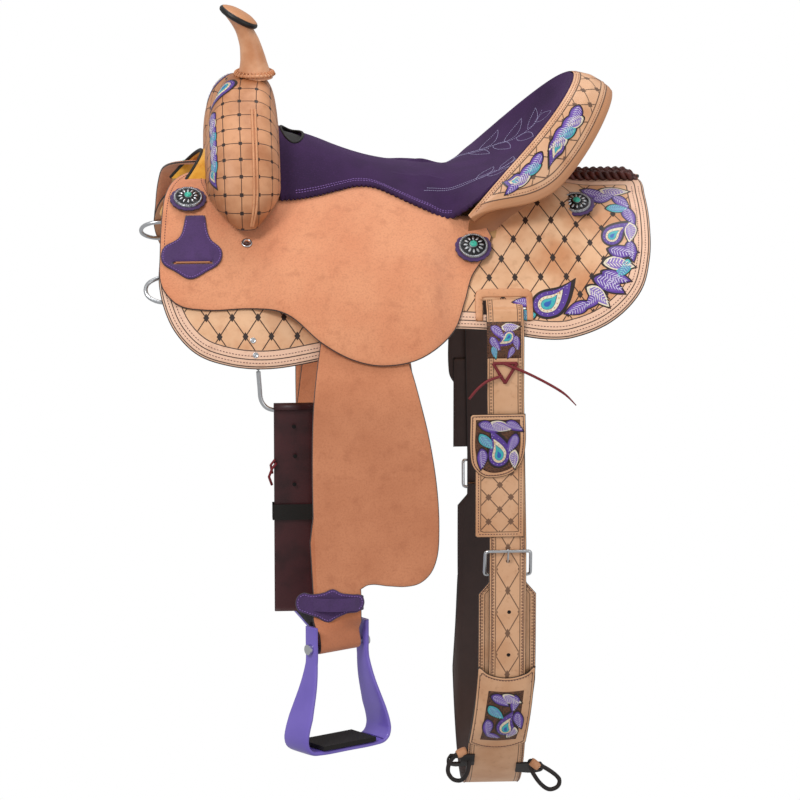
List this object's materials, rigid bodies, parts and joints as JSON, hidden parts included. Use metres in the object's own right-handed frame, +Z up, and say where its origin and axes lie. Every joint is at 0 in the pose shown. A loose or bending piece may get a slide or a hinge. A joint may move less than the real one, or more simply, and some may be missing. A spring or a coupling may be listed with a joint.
{
  "type": "barrel racing saddle",
  "caption": "Western barrel racing saddle with horn, deep padded seat and high cantle, skirts, fenders with stirrups, rigging dees, a latigo and a rear flank cinch.",
  "frame": {"origin": "on the ridge of the saddle stand under the middle of the saddle, at the underside of the fleece", "axes": "+X towards the cantle (rear), -Y the near (left) side, +Z up"},
  "size_m": [0.6838, 0.7328, 1.095],
  "materials": {
    "billet_panel_left": "satin",
    "billet_panel_right": "satin",
    "billet_shield_left": "satin",
    "billet_shield_right": "satin",
    "breast_dee_left": "satin",
    "breast_dee_right": "satin",
    "buckle_tongue_left": "satin",
    "buckle_tongue_right": "satin",
    "cantle_back": "satin",
    "cantle_board": "matte",
    "cheyenne_roll": "satin",
    "cinch_buckle_left": "satin",
    "cinch_buckle_right": "satin",
    "cinch_pocket_left": "satin",
    "cinch_pocket_right": "satin",
    "concho_front_left": "satin",
    "concho_front_right": "satin",
    "concho_middle_left": "satin",
    "concho_middle_right": "satin",
    "concho_rear_left": "satin",
    "concho_rear_right": "satin",
    "connector_loop_front": "satin",
    "connector_loop_rear": "satin",
    "fender_left": "matte",
    "fender_right": "matte",
    "flank_cinch": "satin",
    "fork": "matte",
    "ground_seat": "matte",
    "gullet_lining": "matte",
    "hobble_strap_left": "matte",
    "hobble_strap_right": "matte",
    "horn_cap": "satin",
    "horn_neck": "satin",
    "jockey_left": "matte",
    "jockey_right": "matte",
    "latigo_end_keeper": "satin",
    "latigo_keeper_left": "matte",
    "latigo_keeper_right": "matte",
    "latigo_left": "satin",
    "lining_left": "matte",
    "lining_right": "matte",
    "rear_billet_left": "satin",
    "rear_billet_right": "satin",
    "rigging_dee_left": "satin",
    "rigging_dee_right": "satin",
    "seat": "matte",
    "skirt_lacing": "satin",
    "skirt_left": "satin",
    "skirt_right": "satin",
    "stirrup_bolt_left": "satin",
    "stirrup_bolt_right": "satin",
    "stirrup_leather_left": "matte",
    "stirrup_leather_right": "matte",
    "stirrup_left": "satin",
    "stirrup_right": "satin",
    "stirrup_tread_left": "matte",
    "stirrup_tread_right": "matte",
    "swell_cover": "satin",
    "tree_bar_left": "matte",
    "tree_bar_right": "matte"
  },
  "bodies": {
    "saddle": {"fork": "fork", "swell_cover": "swell_cover", "gullet_lining": "gullet_lining", "horn_neck": "horn_neck", "horn_cap": "horn_cap", "ground_seat": "ground_seat", "seat": "seat", "cantle_board": "cantle_board", "cheyenne_roll": "cheyenne_roll", "cantle_back": "cantle_back", "skirt_lacing": "skirt_lacing", "tree_bar_left": "tree_bar_left", "tree_bar_right": "tree_bar_right", "skirt_left": "skirt_left", "skirt_right": "skirt_right", "lining_left": "lining_left", "lining_right": "lining_right", "jockey_left": "jockey_left", "jockey_right": "jockey_right", "concho_front_left": "concho_front_left", "concho_front_right": "concho_front_right", "concho_middle_left": "concho_middle_left", "concho_middle_right": "concho_middle_right", "concho_rear_left": "concho_rear_left", "concho_rear_right": "concho_rear_right", "latigo_keeper_left": "latigo_keeper_left", "latigo_keeper_right": "latigo_keeper_right"},
    "fender_left": {"fender_left": "fender_left", "stirrup_leather_left": "stirrup_leather_left", "hobble_strap_left": "hobble_strap_left"},
    "fender_right": {"fender_right": "fender_right", "stirrup_leather_right": "stirrup_leather_right", "hobble_strap_right": "hobble_strap_right"},
    "stirrup_left": {"stirrup_left": "stirrup_left", "stirrup_tread_left": "stirrup_tread_left", "stirrup_bolt_left": "stirrup_bolt_left"},
    "stirrup_right": {"stirrup_right": "stirrup_right", "stirrup_tread_right": "stirrup_tread_right", "stirrup_bolt_right": "stirrup_bolt_right"},
    "rigging_dee_left": {"rigging_dee_left": "rigging_dee_left"},
    "rigging_dee_right": {"rigging_dee_right": "rigging_dee_right"},
    "latigo": {"latigo_left": "latigo_left", "latigo_end_keeper": "latigo_end_keeper"},
    "rear_cinch": {"rear_billet_left": "rear_billet_left", "rear_billet_right": "rear_billet_right", "billet_panel_left": "billet_panel_left", "billet_panel_right": "billet_panel_right", "billet_shield_left": "billet_shield_left", "billet_shield_right": "billet_shield_right", "cinch_pocket_left": "cinch_pocket_left", "cinch_pocket_right": "cinch_pocket_right", "cinch_buckle_left": "cinch_buckle_left", "cinch_buckle_right": "cinch_buckle_right", "flank_cinch": "flank_cinch", "connector_loop_front": "connector_loop_front", "connector_loop_rear": "connector_loop_rear"},
    "buckle_tongue_left": {"buckle_tongue_left": "buckle_tongue_left"},
    "buckle_tongue_right": {"buckle_tongue_right": "buckle_tongue_right"},
    "breast_dee_left": {"breast_dee_left": "breast_dee_left"},
    "breast_dee_right": {"breast_dee_right": "breast_dee_right"}
  },
  "joints": [
    {"name": "fender_swing_left", "type": "hinge", "parent": "saddle", "child": "fender_left", "pos_m": [-0.068, -0.20903, -0.1321], "axis": [0, 0.8596, -0.511], "range_deg": [-16, 25]},
    {"name": "fender_swing_right", "type": "hinge", "parent": "saddle", "child": "fender_right", "pos_m": [-0.068, 0.20903, -0.1321], "axis": [0, 0.8596, 0.511], "range_deg": [-16, 25]},
    {"name": "stirrup_swing_left", "type": "hinge", "parent": "fender_left", "child": "stirrup_left", "pos_m": [-0.1, -0.28846, -0.55793], "axis": [0.8192, 0.5722, -0.04], "range_deg": [-25, 25]},
    {"name": "stirrup_swing_right", "type": "hinge", "parent": "fender_right", "child": "stirrup_right", "pos_m": [-0.1, 0.28846, -0.55793], "axis": [0.2588, -0.9636, -0.0674], "range_deg": [-25, 25]},
    {"name": "rigging_dee_swing_left", "type": "hinge", "parent": "saddle", "child": "rigging_dee_left", "pos_m": [-0.1545, -0.21856, -0.17089], "axis": [1, 0, 0], "range_deg": [0, 20]},
    {"name": "rigging_dee_swing_right", "type": "hinge", "parent": "saddle", "child": "rigging_dee_right", "pos_m": [-0.1545, 0.21856, -0.17089], "axis": [-1, 0, 0], "range_deg": [0, 20]},
    {"name": "latigo_swing", "type": "hinge", "parent": "rigging_dee_left", "child": "latigo", "pos_m": [-0.1545, -0.21856, -0.24989], "axis": [1, 0, 0], "range_deg": [0, 20]},
    {"name": "rear_cinch_swing", "type": "hinge", "parent": "saddle", "child": "rear_cinch", "pos_m": [0.1285, 0, -0.11875], "axis": [0, 1, 0], "range_deg": [-10, 10]},
    {"name": "tongue_swing_left", "type": "hinge", "parent": "rear_cinch", "child": "buckle_tongue_left", "pos_m": [0.1325, -0.21848, -0.4845], "axis": [1, 0, 0], "range_deg": [0, 45]},
    {"name": "tongue_swing_right", "type": "hinge", "parent": "rear_cinch", "child": "buckle_tongue_right", "pos_m": [0.1325, 0.21848, -0.4845], "axis": [-1, 0, 0], "range_deg": [0, 45]},
    {"name": "breast_dee_swing_left", "type": "hinge", "parent": "saddle", "child": "breast_dee_left", "pos_m": [-0.3115, -0.17128, -0.09546], "axis": [0, -0.6457, -0.7636], "range_deg": [0, 30]},
    {"name": "breast_dee_swing_right", "type": "hinge", "parent": "saddle", "child": "breast_dee_right", "pos_m": [-0.3115, 0.17128, -0.09546], "axis": [0, -0.6457, 0.7636], "range_deg": [0, 30]}
  ]
}
